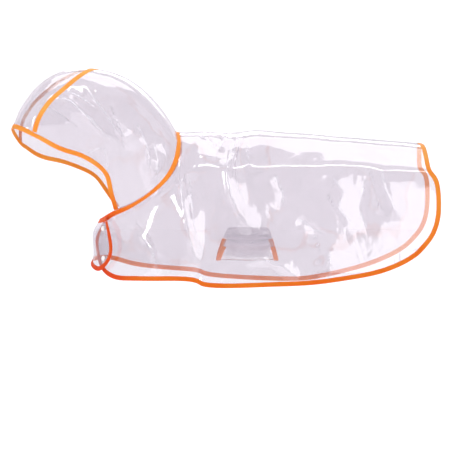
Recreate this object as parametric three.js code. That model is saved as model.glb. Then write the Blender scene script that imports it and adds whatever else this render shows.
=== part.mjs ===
// Clear film raincoat for a medium dog, worn: +X towards the rear, +Z up, the near side at -Y.
// The origin is on the back, just behind the neck seam, where the wearer's withers carry the coat.
// Lengths are in millimetres.
import * as THREE from 'three'

// Driving dimensions
const film = 1.2 // wall of the clear film
const tape = 1.0 // wall of the orange binding tape
const gap = 0.44 // clearance between two sewn pieces; it narrows where they bend
const foldDepth = 9 // how far a folded binding reaches in from the edge
const seamHalf = 5 // half width of the flat tape over a seam
const lap = 6.2 // far front panel above the near one, middle to middle
const lapFade = 34 // distance over which the lap runs out beyond the near panel
const hoodPivot = -100 // X of the upright line that the hood turns about
const strapTapeStart = 26 // distance from the strap's end to the end of its tapes
const crownTapeTop = 4 // distance from the last crown row to the end of the seam tape
const tapeRoom = 0.4 // extra room where one tape ends beside another
const shoulderShare = 0.45 // where the roof's highest point lies between ridge and crease
const leanOut = 4 // how far the wall stands out just below the crease
const leanDown = 14 // how far below the crease that is
const stripShare = 0.8 // a tape's inner edge lies at most this share of a column inwards
const tiny = 1e-6 // edges shorter than this are left out
const snapRadius = 5
const snapPlate = 2 // thickness of a snap's cap and back

// Rows of numbers made into rows with named columns
function table(columns, rows) {
  return rows.map((row) => Object.fromEntries(columns.map((name, k) => [name, row[k]])))
}

// Hood arches from the nose tip to the neck seam. ahead and up give the top and the lower edge,
// half is half the width at the edge, wide at the widest, turn in degrees towards the near side,
// bow pushes the arch backwards at its middle and drop lowers the far edge.
const archColumns = [
  'topAhead', 'topUp', 'ahead', 'up', 'half', 'wide', 'turn', 'bow', 'drop'
]
const arches = table(archColumns, [
  [300,  10, 269,   -7, 38, 38, 24,  0, 20],
  [277,  55, 254,  -15, 45, 52, 24,  0, 20],
  [246,  93, 237,  -26, 51, 62, 24,  0, 20],
  [207, 119, 214,  -37, 57, 70, 24,  0, 18],
  [164, 129, 193,  -43, 60, 76, 24,  0, 16],
  [119, 127, 167,  -51, 60, 80, 23,  0, 14],
  [ 70, 116, 137,  -66, 56, 82, 20,  4, 11],
  [ 28,  94, 110,  -84, 50, 83, 16, 12,  8],
  [ -3,  66,  98, -109, 46, 83, 11, 25,  5],
  [-29,  33,  86, -135, 46, 85,  5, 40,  2],
  [-49,   0,  74, -163, 48, 88,  0, 52,  0]
])
const bowSkew = 1.15 // above 1 the bow is deepest below the arch's middle
const bowFullness = 0.7 // below 1 the bow is broader than a half wave
// Crown seam: share of the arch from its top (0) to its edge (1), one value for each arch it crosses
const crownShares = [1, 0.62, 0.46, 0.37, 0.22, 0]
const neckArch = arches.length - 1

// Body sections from the rear edge to the chest. Each runs from the back's ridge over the lengthwise
// crease and the side to the hem or the front edge, on the near side. Y is a distance from the middle
// plane, bow and rise lift the roof between ridge and crease, farDrop lowers the far hem, and step
// moves the wall below the crease to the rear.
const sectionColumns = [
  'ridgeX', 'ridgeZ', 'bow', 'rise', 'creaseX', 'creaseY', 'creaseZ', 'sideX', 'sideY', 'sideZ',
  'hemX', 'hemY', 'hemZ', 'farDrop', 'step'
]
const nearSections = table(sectionColumns, [
  [452, -23, 0, 17, 462, 108, -76,  481, 126, -150,  473, 129, -211,  0, 13],
  [414, -20, 0, 19, 416, 111, -75,  421, 128, -164,  431, 133, -249,  0,  0],
  [372, -17, 0, 20, 360, 112, -69,  360, 129, -174,  366, 136, -279,  2,  0],
  [306, -12, 0, 20, 300, 113, -65,  300, 129, -184,  300, 137, -292,  8,  0],
  [240,  -5, 0, 20, 236, 113, -66,  230, 129, -184,  222, 137, -303, 13,  0],
  [172,   0, 0, 20, 170, 112, -68,  160, 128, -190,  140, 137, -306, 10,  0],
  [112,   6, 0, 20, 104, 110, -70,   86, 127, -190,   64, 136, -309,  3,  0],
  [ 84,   2, 0, 19,  70, 108, -70,   40, 126, -190,    5, 138, -306,  0,  0],
  [ 70,   0, 0, 19,  54, 107, -68,   20, 123, -190,   -6, 131, -299,  0,  0],
  [ 48,  -1, 0, 19,  30, 106, -67,  -16, 124, -190,  -36, 130, -295,  0,  0],
  [ 24,   1, 1, 20,   8, 104, -67,  -54, 121, -190,  -90, 119, -296,  0,  0],
  [  4,   2, 2, 21,  -8, 101, -68,  -82, 115, -188, -140,  97, -297,  0,  0],
  [-10,   2, 4, 22, -19,  98, -69,  -98, 109, -182, -174,  72, -297,  0,  0],
  [-21,   1, 5, 23, -27,  95, -70, -108, 103, -172, -203,  36, -281,  0,  0],
  [-31,   0, 6, 24, -35,  92, -70, -113,  96, -160, -219,   8, -244,  0,  0],
  [-41,   0, 6, 25, -43,  90, -71, -115,  90, -148, -217,  10, -212,  0,  0]
])
// The far side is the near one turned over as far as the shoulder. Further forward its front is
// wider: it runs over the cheek and the nose of the chest and ends on the near side, where y is
// below zero.
const frontColumns = [
  'sideX', 'sideY', 'sideZ', 'cheekX', 'cheekY', 'cheekZ', 'noseX', 'noseY', 'noseZ', 'hemX', 'hemY',
  'hemZ'
]
const farFronts = table(frontColumns, [
  [ -38, 118, -130,  -62, 122, -190,  -78, 122, -245,  -92, 118, -290],
  [ -58, 113, -130, -100, 113, -187, -130, 105, -238, -148,  96, -281],
  [ -71, 107, -128, -128,  98, -182, -174,  78, -222, -194,  60, -264],
  [ -78, 102, -126, -144,  87, -177, -204,  52, -215, -230,   2, -268],
  [ -82,  96, -124, -154,  77, -173, -223,  14, -212, -206, -46, -285],
  [ -85,  91, -122, -158,  68, -168, -223,  -2, -200, -174, -74, -238]
])
const throatNear = { x: -207, y: -20, z: -184 }
const throatMiddle = { x: -211, y: 8, z: -183 }
const throatFar = { x: -192, y: -46, z: -175 }

const ridgeSteps = 6 // columns from the ridge to the crease
const nearSteps = 11 // columns from the crease to the near hem
const farSteps = 14 // columns from the crease to the far hem
const throatSteps = 3 // how many of the near columns lie below the hood at the neck
const farThroatSteps = 6
const rowSteps = 2 // rows between two body sections
const hoodSteps = 15 // rows from the crown seam to the neck seam
const crownSteps = 10 // columns across the crown panel
const hoodSlide = 0.6 // how far the hood's columns swing down the arches between its two seams
const neckCreaseShare = 0.547 // where the lengthwise crease would cross the neck arch

// Soft creases in the film: two points on the side as seen from the left, half width and height.
// A height below zero is a trough. Hood creases are given on the near panel.
const bodyCreases = [
  { fromX: -34, fromZ: -84, toX: -6, toZ: -268, half: 16, height: 5 },
  { fromX: 50, fromZ: -60, toX: 94, toZ: -196, half: 17, height: 6 },
  { fromX: 362, fromZ: -72, toX: 396, toZ: -170, half: 20, height: 5 },
  { fromX: 36, fromZ: -6, toX: 50, toZ: -56, half: 14, height: -5 },
  { fromX: 256, fromZ: -224, toX: 258, toZ: -300, half: 18, height: 4 }
]
const hoodCreases = [
  { fromX: -284, fromZ: 76, toX: -172, toZ: -16, half: 11, height: 6 },
  { fromX: -230, fromZ: 90, toX: -150, toZ: -8, half: 10, height: -4 },
  { fromX: -232, fromZ: -48, toX: -188, toZ: -30, half: 12, height: 5 }
]

const vector = (x, y, z) => new THREE.Vector3(x, y, z)
const mix = (a, b, share) => a.clone().lerp(b, share)
const smooth = (share) => {
  const s = Math.min(1, Math.max(0, share))
  return s * s * (3 - 2 * s)
}

// Cubic through evenly spaced values, at a place counted in steps
function through(values, place) {
  const last = values.length - 1
  const start = Math.min(last - 1, Math.max(0, Math.floor(place)))
  const t = place - start
  const b = values[start]
  const c = values[start + 1]
  const a = start > 0 ? values[start - 1] : 2 * b - c
  const d = start + 2 <= last ? values[start + 2] : 2 * c - b
  return b + 0.5 * t * (c - a + t * (2 * a - 5 * b + 4 * c - d + t * (3 * (b - c) + d - a)))
}

// Point on the hood: place counts arches from the nose tip, share runs from the top (0) to the
// edge (1), and side is -1 on the near half and 1 on the far half.
function hoodPoint(place, share, side) {
  const column = (name) => through(arches.map((arch) => arch[name]), place)
  const wide = column('wide')
  const edgeAngle = Math.PI - Math.asin(Math.min(1, column('half') / wide))
  const angle = edgeAngle * share
  const down = (1 - Math.cos(angle)) / (1 - Math.cos(edgeAngle))
  const wave = Math.max(0, Math.sin(Math.PI * down ** bowSkew))
  const bow = column('bow') * wave ** bowFullness
  const ahead = column('topAhead') + (column('ahead') - column('topAhead')) * down - bow
  const aside = wide * Math.sin(angle) * side
  const drop = side > 0 ? column('drop') * down : 0
  const up = column('topUp') + (column('up') - column('topUp')) * down - drop
  const turn = THREE.MathUtils.degToRad(column('turn'))
  const x = hoodPivot - ahead * Math.cos(turn) - aside * Math.sin(turn)
  const y = -ahead * Math.sin(turn) + aside * Math.cos(turn)
  return vector(x, y, up)
}

// Shares of the neck arch at the columns that the hood and the body have in common
function neckShares(count) {
  const shares = []
  for (let j = 0; j <= count; j++) {
    if (j <= ridgeSteps) shares.push((neckCreaseShare * j) / ridgeSteps)
    else shares.push(neckCreaseShare + ((1 - neckCreaseShare) * (j - ridgeSteps)) / (count - ridgeSteps))
  }
  return shares
}

const curveThrough = (knots) => new THREE.CatmullRomCurve3(knots, false, 'centripetal')

// Points at even steps along a smooth curve, with both ends
function evenPoints(curve, count) {
  curve.arcLengthDivisions = 400
  return curve.getSpacedPoints(count)
}

// One body section from the ridge (first) to the hem (last) on one side
function bodySection(row, side, steps) {
  const ridge = vector(row.ridgeX, 0, row.ridgeZ)
  const crease = vector(row.creaseX, row.creaseY * side, row.creaseZ)
  const belly = vector(row.sideX, row.sideY * side, row.sideZ)
  const hem = vector(row.hemX, row.hemY * side, row.hemZ - (side > 0 ? row.farDrop : 0))
  const shoulder = mix(ridge, crease, shoulderShare).add(vector(row.bow, 0, row.rise))
  const roof = evenPoints(curveThrough([ridge, shoulder, crease]), ridgeSteps)
  const lean = vector(row.creaseX + row.step, (row.creaseY + leanOut) * side, row.creaseZ - leanDown)
  const front = row.noseX === undefined ? [] : [
    vector(row.cheekX, row.cheekY * side, row.cheekZ),
    vector(row.noseX, row.noseY * side, row.noseZ)
  ]
  const wall = evenPoints(curveThrough([crease, lean, belly, ...front, hem]), steps)
  return roof.concat(wall.slice(1))
}

// The neck edge of the body: the hood's last arch, then the throat down to the front corner
function neckSection(side, steps, throat) {
  const shares = neckShares(ridgeSteps + steps - throat.length)
  const arch = shares.map((share) => hoodPoint(neckArch, share, side))
  return arch.concat(throat)
}

function throatPoints(side) {
  const start = hoodPoint(neckArch, 1, side)
  const near = vector(throatNear.x, throatNear.y, throatNear.z)
  const middle = vector(throatMiddle.x, throatMiddle.y, throatMiddle.z)
  const far = vector(throatFar.x, throatFar.y, throatFar.z)
  const knots = side < 0 ? [start, near] : [start, middle, far]
  const count = side < 0 ? throatSteps : farThroatSteps
  return evenPoints(curveThrough(knots), count).slice(1)
}

// Rows of points through the sections, with smooth curves along each column
function loft(sections, stepsBetween) {
  const columns = sections[0].map((_, j) => curveThrough(sections.map((section) => section[j])))
  const count = (sections.length - 1) * stepsBetween
  const rows = []
  for (let i = 0; i <= count; i++) rows.push(columns.map((column) => column.getPoint(i / count)))
  return rows
}

function gridNormals(rows) {
  const height = rows.length
  const width = rows[0].length
  return rows.map((row, i) => row.map((_, j) => {
    const alongRows = rows[Math.min(height - 1, i + 1)][j].clone().sub(rows[Math.max(0, i - 1)][j])
    const across = row[Math.min(width - 1, j + 1)].clone().sub(row[Math.max(0, j - 1)])
    return alongRows.cross(across).normalize()
  }))
}

// Adds creases to a grid by moving its points along their normals; they fade at the seams
function crease(rows, creases, outwards) {
  const normals = gridNormals(rows)
  const last = rows.length - 1
  return rows.map((row, i) => row.map((point, j) => {
    const fade = Math.min(1, i / 2, (last - i) / 2, j / 2) * outwards
    let height = 0
    for (const fold of creases) {
      const runX = fold.toX - fold.fromX
      const runZ = fold.toZ - fold.fromZ
      const length = Math.hypot(runX, runZ)
      const along = ((point.x - fold.fromX) * runX + (point.z - fold.fromZ) * runZ) / (length * length)
      const aside = Math.abs((point.x - fold.fromX) * runZ - (point.z - fold.fromZ) * runX) / length
      const ends = smooth((along + 0.12) / 0.24) * smooth((1.12 - along) / 0.24)
      height += fold.height * ends * Math.exp(-((aside / fold.half) ** 2))
    }
    return point.clone().addScaledVector(normals[i][j], height * fade)
  }))
}

const transpose = (rows) => rows[0].map((_, j) => rows.map((row) => row[j]))

// Moves the first row inwards by an inset, and adds a row at the tape's inner edge
function trimFirst(rows, inset, depth) {
  const first = rows[0].map((point, j) => {
    const inwards = rows[1][j].clone().sub(point).normalize()
    return point.clone().addScaledVector(inwards, inset)
  })
  if (depth === 0) return [first].concat(rows.slice(1))
  const strip = rows[0].map((point, j) => {
    const inwards = rows[1][j].clone().sub(point)
    const reach = Math.min(depth, inwards.length() * stripShare)
    return point.clone().addScaledVector(inwards.normalize(), reach)
  })
  return [first, strip].concat(rows.slice(1))
}
const trimLast = (rows, inset, depth) => trimFirst(rows.slice().reverse(), inset, depth).reverse()
const trimLeft = (rows, inset, depth) => transpose(trimFirst(transpose(rows), inset, depth))
const trimRight = (rows, inset, depth) => transpose(trimLast(transpose(rows), inset, depth))

// Closed mesh from vertices and faces, turned so that its faces point outwards
function solid(name, points, faces, material) {
  let volume = 0
  const triangles = []
  for (const face of faces) {
    for (let k = 1; k + 1 < face.length; k++) {
      const [a, b, c] = [points[face[0]], points[face[k]], points[face[k + 1]]]
      if (Math.min(a.distanceTo(b), b.distanceTo(c), c.distanceTo(a)) < tiny) continue
      volume += a.dot(b.clone().cross(c))
      triangles.push([a, b, c])
    }
  }
  const positions = []
  for (const [a, b, c] of triangles) {
    for (const point of volume > 0 ? [a, b, c] : [a, c, b]) positions.push(point.x, point.y, point.z)
  }
  const geometry = new THREE.BufferGeometry()
  geometry.setAttribute('position', new THREE.Float32BufferAttribute(positions, 3))
  geometry.computeVertexNormals()
  const mesh = new THREE.Mesh(geometry, material)
  mesh.name = name
  return mesh
}

// The two triangles of a grid's quad, as row and column of their corners. Quads along the rim are
// all split the same way, which the tapes follow, and the others along their shorter diagonal.
function quadHalves(rows, i, j) {
  const onRim = i === 0 || j === 0 || i === rows.length - 2 || j === rows[0].length - 2
  const direct = rows[i][j].distanceTo(rows[i + 1][j + 1])
  const other = rows[i + 1][j].distanceTo(rows[i][j + 1])
  const [here, below, across, beside] = [[i, j], [i + 1, j], [i + 1, j + 1], [i, j + 1]]
  if (onRim || direct <= other) return [[here, below, across], [here, across, beside]]
  return [[here, below, beside], [below, across, beside]]
}

// A wall of even thickness on both sides of a grid of points
function wall(name, rows, normals, thickness, material) {
  const height = rows.length
  const width = rows[0].length
  const side = (sign) => rows.flatMap((row, i) => row.map((point, j) =>
    point.clone().addScaledVector(normals[i][j], (sign * thickness) / 2)))
  const points = side(1).concat(side(-1))
  const outer = (i, j) => i * width + j
  const inner = (i, j) => height * width + i * width + j
  const faces = []
  for (let i = 0; i + 1 < height; i++) {
    for (let j = 0; j + 1 < width; j++) {
      for (const [[a, b], [c, d], [e, f]] of quadHalves(rows, i, j)) {
        faces.push([outer(a, b), outer(c, d), outer(e, f)], [inner(a, b), inner(e, f), inner(c, d)])
      }
    }
  }
  const rim = []
  for (let j = 0; j < width - 1; j++) rim.push([0, j])
  for (let i = 0; i < height - 1; i++) rim.push([i, width - 1])
  for (let j = width - 1; j > 0; j--) rim.push([height - 1, j])
  for (let i = height - 1; i > 0; i--) rim.push([i, 0])
  rim.forEach(([i, j], k) => {
    const [m, n] = rim[(k + 1) % rim.length]
    faces.push([outer(i, j), outer(m, n), inner(m, n), inner(i, j)])
  })
  return solid(name, points, faces, material)
}

// Closed solid through a row of rings; the end faces are the quads named by their corners.
// turned(k) lists the sides of the ring whose quads are split along their other diagonal after
// ring k, so that a tape's faces lie parallel to the film's.
function ringSolid(name, rings, ends, turned, material) {
  const size = rings[0].length
  const faces = []
  for (let k = 0; k + 1 < rings.length; k++) {
    for (let m = 0; m < size; m++) {
      const a = k * size + m
      const b = k * size + ((m + 1) % size)
      if (turned(k).includes(m)) faces.push([a, b, a + size], [b, b + size, a + size])
      else faces.push([a, b, b + size], [a, b + size, a + size])
    }
  }
  const last = (rings.length - 1) * size
  for (const quad of ends) {
    faces.push(quad.slice().reverse())
    faces.push(quad.map((m) => m + last))
  }
  return solid(name, rings.flat(), faces, material)
}

// Tape folded round an edge. Each place has the edge point, the inner point and their normals; its
// slant says whether the film's next quad is split from the inner point (inwards) or from the edge.
function foldedTape(name, places, material) {
  const near = film / 2 + gap
  const away = near + tape
  const rings = places.map(({ edge, inside, edgeNormal, insideNormal }) => {
    const outwards = edge.clone().sub(inside).normalize()
    const rim = (reach) => edge.clone().addScaledVector(outwards, reach)
    const lip = (reach, height) => rim(reach).addScaledVector(edgeNormal, height)
    const leg = (height) => inside.clone().addScaledVector(insideNormal, height)
    return [leg(away), lip(gap + tape, away), lip(gap + tape, -away), leg(-away),
      leg(-near), lip(gap, -near), lip(gap, near), leg(near)]
  })
  const turned = (k) => (places[k].slant === 'inwards' ? [2, 6] : [0, 4])
  return ringSolid(name, rings, [[0, 1, 6, 7], [1, 2, 5, 6], [2, 3, 4, 5]], turned, material)
}

// Flat tape over a seam. Each place has a point on both sides of the seam and one on it, and the
// sides of the ring that are split the other way up to the next place.
function seamTape(name, places, material) {
  const near = film / 2 + gap
  const away = near + tape
  const rings = places.map(({ first, seam, second, firstNormal, seamNormal, secondNormal }) => [
    first.clone().addScaledVector(firstNormal, near),
    seam.clone().addScaledVector(seamNormal, near),
    second.clone().addScaledVector(secondNormal, near),
    second.clone().addScaledVector(secondNormal, away),
    seam.clone().addScaledVector(seamNormal, away),
    first.clone().addScaledVector(firstNormal, away)
  ])
  const turned = (k) => places[k].turned
  return ringSolid(name, rings, [[0, 1, 4, 5], [1, 2, 3, 4]], turned, material)
}

// Shortens a run of places at both ends by a distance
function shorten(places, atStart, atEnd) {
  const cut = (list, distance) => {
    let rest = distance
    let start = 0
    while (start + 2 < list.length) {
      const step = centre(list[start]).distanceTo(centre(list[start + 1]))
      if (step > rest) break
      rest -= step
      start += 1
    }
    const step = centre(list[start]).distanceTo(centre(list[start + 1]))
    const share = Math.min(0.9, rest / step)
    const blended = { ...list[start] }
    for (const key of Object.keys(blended)) {
      if (blended[key].isVector3) blended[key] = mix(list[start][key], list[start + 1][key], share)
    }
    return [blended].concat(list.slice(start + 1))
  }
  const head = atStart > 0 ? cut(places, atStart) : places
  if (atEnd === 0) return head
  const tail = cut(head.slice().reverse(), atEnd).reverse()
  return tail
}
const centre = (place) => place.edge ?? place.seam

// Materials
const clearFilm = new THREE.MeshStandardMaterial({ color: 0xe4dfe8, roughness: 0.12, metalness: 0 })
const orangeTape = new THREE.MeshStandardMaterial({ color: 0xf5822a, roughness: 0.6, metalness: 0 })
const whitePlastic = new THREE.MeshStandardMaterial({ color: 0xf2f0ee, roughness: 0.35, metalness: 0 })

// Body panel: near half, far half and the lapped front
function bodyHalf(table, side, steps) {
  const sections = table.map((row) => bodySection(row, side, steps))
  sections.push(neckSection(side, steps, throatPoints(side)))
  return crease(loft(sections, rowSteps), bodyCreases, -side)
}
const farTable = nearSections.map((row, i) => {
  const front = farFronts[i - (nearSections.length - farFronts.length)]
  return front === undefined ? row : { ...row, ...front }
})
const plainNear = bodyHalf(nearSections, -1, nearSteps)
const farGrid = bodyHalf(farTable, 1, farSteps)

// Nearest point of a grid's facets to a point, with the grid's normal there
function nearestOn(rows, normals, point) {
  let best = { distance: Infinity }
  const target = new THREE.Vector3()
  const triangle = new THREE.Triangle()
  const weights = new THREE.Vector3()
  for (let i = 0; i + 1 < rows.length; i++) {
    for (let j = 0; j + 1 < rows[0].length; j++) {
      for (const corners of quadHalves(rows, i, j)) {
        triangle.set(...corners.map(([m, n]) => rows[m][n]))
        triangle.closestPointToPoint(point, target)
        const distance = target.distanceTo(point)
        if (distance < best.distance) {
          triangle.getBarycoord(target, weights)
          const normal = new THREE.Vector3()
          corners.forEach(([m, n], k) => normal.addScaledVector(normals[m][n], weights.getComponent(k)))
          best = { distance, point: target.clone(), normal: normal.normalize() }
        }
      }
    }
  }
  return best
}

// Flips a grid's normals so that they point away from a point inside the garment
function outwardNormals(rows, normals, inside) {
  const i = Math.floor(rows.length / 2)
  const j = Math.floor(rows[0].length / 2)
  const facing = rows[i][j].clone().sub(inside).dot(normals[i][j]) < 0 ? -1 : 1
  return normals.map((row) => row.map((normal) => normal.clone().multiplyScalar(facing)))
}
const torsoMiddle = vector(0, 0, -180)
const headMiddle = vector(-240, -60, 0)

// The far front lies on the near one: the near panel dips under it by the lap's height
const lapStart = (nearSections.length - farFronts.length) * rowSteps
const farFront = farGrid.slice(lapStart)
const farFrontNormals = outwardNormals(farFront, gridNormals(farFront), torsoMiddle)
const nearGrid = plainNear.map((row, i) => row.map((point, j) => {
  if (i < lapStart || j < ridgeSteps + 2) return point
  const over = nearestOn(farFront, farFrontNormals, point)
  const offset = point.clone().sub(over.point)
  const height = offset.dot(over.normal)
  const beyond = offset.clone().addScaledVector(over.normal, -height).length()
  const hold = 1 - smooth(beyond / lapFade)
  return point.clone().addScaledVector(over.normal, Math.min(0, -lap - height) * hold)
}))
const nearFront = nearGrid.slice(lapStart)
const nearFrontNormals = outwardNormals(nearFront, gridNormals(nearFront), torsoMiddle)

const wholeBody = nearGrid.map((row, i) => row.slice().reverse().concat(farGrid[i].slice(1)))
wholeBody.splice(-2, 1)
const bodyTrims = trimFirst(trimLast(wholeBody, gap * 0.7, seamHalf), 0, foldDepth)
const bodyRows = trimRight(trimLeft(bodyTrims, 0, foldDepth), 0, foldDepth)
const bodyNormals = gridNormals(bodyRows)

// Hood: the crown seam at even steps from the face edge (last) to its upper end (first)
const crownEnd = crownShares.length - 1
const seamShare = (place) => Math.max(0, through(crownShares, place))
const hoodCount = ridgeSteps + nearSteps - throatSteps
function seamPlaces(count) {
  const fine = 200
  const lengths = [0]
  for (let k = 1; k <= fine; k++) {
    const [before, now] = [k - 1, k].map((step) => (crownEnd * step) / fine)
    const step = hoodPoint(now, seamShare(now), -1).distanceTo(hoodPoint(before, seamShare(before), -1))
    lengths.push(lengths[k - 1] + step)
  }
  const places = []
  for (let j = 0; j <= count; j++) {
    const target = (lengths[fine] * (count - j)) / count
    let k = 1
    while (k < fine && lengths[k] < target) k += 1
    const share = (target - lengths[k - 1]) / (lengths[k] - lengths[k - 1])
    places.push((crownEnd * (k - 1 + share)) / fine)
  }
  return places
}
const crownPlaces = seamPlaces(hoodCount)

// Side panel of the hood: rows from the crown seam to the neck seam, columns from the back seam
// to the face edge
function hoodSide(side) {
  const shares = neckShares(hoodCount)
  const rows = []
  for (let k = 0; k <= hoodSteps; k++) {
    const t = k / hoodSteps
    rows.push(shares.map((share, j) => {
      const place = crownPlaces[j] + (neckArch - crownPlaces[j]) * t
      const start = seamShare(crownPlaces[j])
      const slide = hoodSlide * Math.sin(Math.PI * share) * t * (1 - t)
      return hoodPoint(place, start + (share - start) * t + slide, side)
    }))
  }
  const creased = crease(rows, hoodCreases, side)
  const panel = trimFirst(trimLast(creased, gap / 2, seamHalf), gap / 2, seamHalf)
  return trimRight(trimLeft(panel, gap / 2, 0), 0, foldDepth)
}
const leftRows = hoodSide(-1)
const rightRows = hoodSide(1)
const leftNormals = gridNormals(leftRows)
const rightNormals = gridNormals(rightRows)

// Crown panel: rows from the face edge to the seam's upper end, columns from the near seam to the far
const crownRows = trimFirst(crownPlaces.slice(1).reverse().map((place) => {
  const row = []
  for (let c = 0; c <= crownSteps; c++) {
    const across = (2 * c) / crownSteps - 1
    row.push(hoodPoint(place, seamShare(place) * Math.abs(across), Math.sign(across)))
  }
  return row
}), 0, foldDepth)
const crownPanel = trimRight(trimLeft(crownRows, gap / 2, seamHalf), gap / 2, seamHalf)
const crownNormals = gridNormals(crownPanel)

// Two pieces that meet at a seam share its normals, so that their walls part evenly
function shareNormals(first, second) {
  first.forEach((normal, k) => {
    const other = second[k].dot(normal) < 0 ? second[k].clone().negate() : second[k]
    const mean = normal.clone().add(other).normalize()
    normal.copy(mean)
    second[k].copy(second[k].dot(mean) < 0 ? mean.clone().negate() : mean)
  })
}
const rowOf = (grid, i) => grid.at(i)
const columnOf = (grid, j) => grid.map((row) => row.at(j))
const bodyRidge = nearSteps + ridgeSteps + 1 // column of the body's ridge, counted with its strip
const hoodColumns = [...Array(hoodCount).keys(), hoodCount + 1] // a hood's columns without its strip
const seamsAtNeck = (side) => hoodColumns.map((_, j) => rowOf(bodyNormals, -1)[bodyRidge + side * j])
shareNormals(hoodColumns.map((c) => rowOf(leftNormals, -1)[c]), seamsAtNeck(-1))
shareNormals(hoodColumns.map((c) => rowOf(rightNormals, -1)[c]), seamsAtNeck(1))
shareNormals(columnOf(leftNormals, 0), columnOf(rightNormals, 0))
// Crown seam vertices run from the face edge back, on the crown; on a side panel they run the other way
const crownSide = (normals) => hoodColumns.slice(1).reverse().map((c) => rowOf(normals, 0)[c])
const crownSeam = (column) => columnOf(crownNormals, column).filter((_, i) => i !== 1)
shareNormals(crownSeam(0), crownSide(leftNormals))
shareNormals(crownSeam(-1), crownSide(rightNormals))

const bodyOut = outwardNormals(bodyRows, bodyNormals, torsoMiddle)
const leftOut = outwardNormals(leftRows, leftNormals, headMiddle)
const rightOut = outwardNormals(rightRows, rightNormals, headMiddle)
const crownOut = outwardNormals(crownPanel, crownNormals, headMiddle)

// A place on a folded tape: the edge vertex and the inner one of a grid
const edgePlace = (rows, normals, [i, j], [m, n], slant) => ({
  edge: rows.at(i).at(j),
  inside: rows.at(m).at(n),
  edgeNormal: normals.at(i).at(j),
  insideNormal: normals.at(m).at(n),
  slant
})
const countFrom = (start, end) => {
  const step = start < end ? 1 : -1
  return Array.from({ length: Math.abs(end - start) + 1 }, (_, k) => start + k * step)
}

// One run of tape: down the near front edge, along the hem, over the rear edge and back up
function hemPlaces() {
  const lastRow = bodyRows.length - 1
  const lastColumn = bodyRows[0].length - 1
  const place = (edge, inside, slant) => edgePlace(bodyRows, bodyOut, edge, inside, slant)
  const nearRun = countFrom(lastRow, 1).map((i) => place([i, 0], [i, 1], 'inwards'))
  const corner = place([0, 0], [1, 1], 'outwards')
  const rearRun = countFrom(1, lastColumn - 1).map((j) => place([0, j], [1, j], 'outwards'))
  const farCorner = place([0, lastColumn], [1, lastColumn - 1], 'inwards')
  const farRun = countFrom(1, lastRow).map((i) => place([i, lastColumn], [i, lastColumn - 1], 'inwards'))
  return [...nearRun, corner, ...rearRun, farCorner, ...farRun]
}

// Tape round the face opening: near side from the neck, over the crown's front, far side back
function facePlaces() {
  const lastRow = leftRows.length - 1
  const crownColumns = countFrom(1, crownPanel[0].length - 2)
  const near = (i) => edgePlace(leftRows, leftOut, [i, -1], [i, -2], 'outwards')
  const crown = (j) => edgePlace(crownPanel, crownOut, [0, j], [1, j], 'outwards')
  const far = (i) => edgePlace(rightRows, rightOut, [i, -1], [i, -2], 'inwards')
  const nearRun = countFrom(lastRow, 0).map(near)
  const front = crownColumns.map(crown)
  const farRun = countFrom(0, lastRow).map(far)
  return [...nearRun, ...front, ...farRun]
}

// Tape over the neck seam, from the near front corner to the far one. Below the hood it runs on
// as wide as before.
function neckPlaces() {
  const columns = bodyRows[0].length
  return countFrom(0, columns - 1).map((c) => {
    const edge = bodyRows.at(-1)[c]
    const inside = bodyRows.at(-2)[c]
    const fromRidge = Math.abs(c - bodyRidge)
    const [hood, normals] = c < bodyRidge ? [leftRows, leftOut] : [rightRows, rightOut]
    if (fromRidge <= hoodCount) {
      const column = hoodColumns[fromRidge]
      return {
        first: inside,
        seam: mix(edge, hood.at(-1)[column], 0.5),
        second: hood.at(-2)[column],
        firstNormal: bodyOut.at(-2)[c],
        seamNormal: bodyOut.at(-1)[c],
        secondNormal: normals.at(-2)[column],
        turned: c < bodyRidge ? [] : [1]
      }
    }
    const outwards = edge.clone().sub(inside).normalize()
    return {
      first: inside,
      seam: edge,
      second: edge.clone().addScaledVector(outwards, seamHalf),
      firstNormal: bodyOut.at(-2)[c],
      seamNormal: bodyOut.at(-1)[c],
      secondNormal: bodyOut.at(-1)[c],
      turned: []
    }
  })
}

// Tape over a crown seam, from its upper end to the face tape's inner edge
function crownPlacesAlong(side) {
  const [panel, normals] = side < 0 ? [leftRows, leftOut] : [rightRows, rightOut]
  const column = side < 0 ? 0 : -1
  const beside = side < 0 ? 1 : -2
  const crownLast = crownPanel.length - 1
  return countFrom(1, hoodCount).map((j) => {
    const crownRow = j === hoodCount ? 0 : crownLast - (j - 1)
    const hoodColumn = hoodColumns[j]
    return {
      first: crownPanel[crownRow].at(beside),
      seam: mix(crownPanel[crownRow].at(column), panel[0][hoodColumn], 0.5),
      second: panel[1][hoodColumn],
      firstNormal: crownOut[crownRow].at(beside),
      seamNormal: crownOut[crownRow].at(column),
      secondNormal: normals[1][hoodColumn],
      turned: side < 0 ? [] : [0]
    }
  })
}

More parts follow.
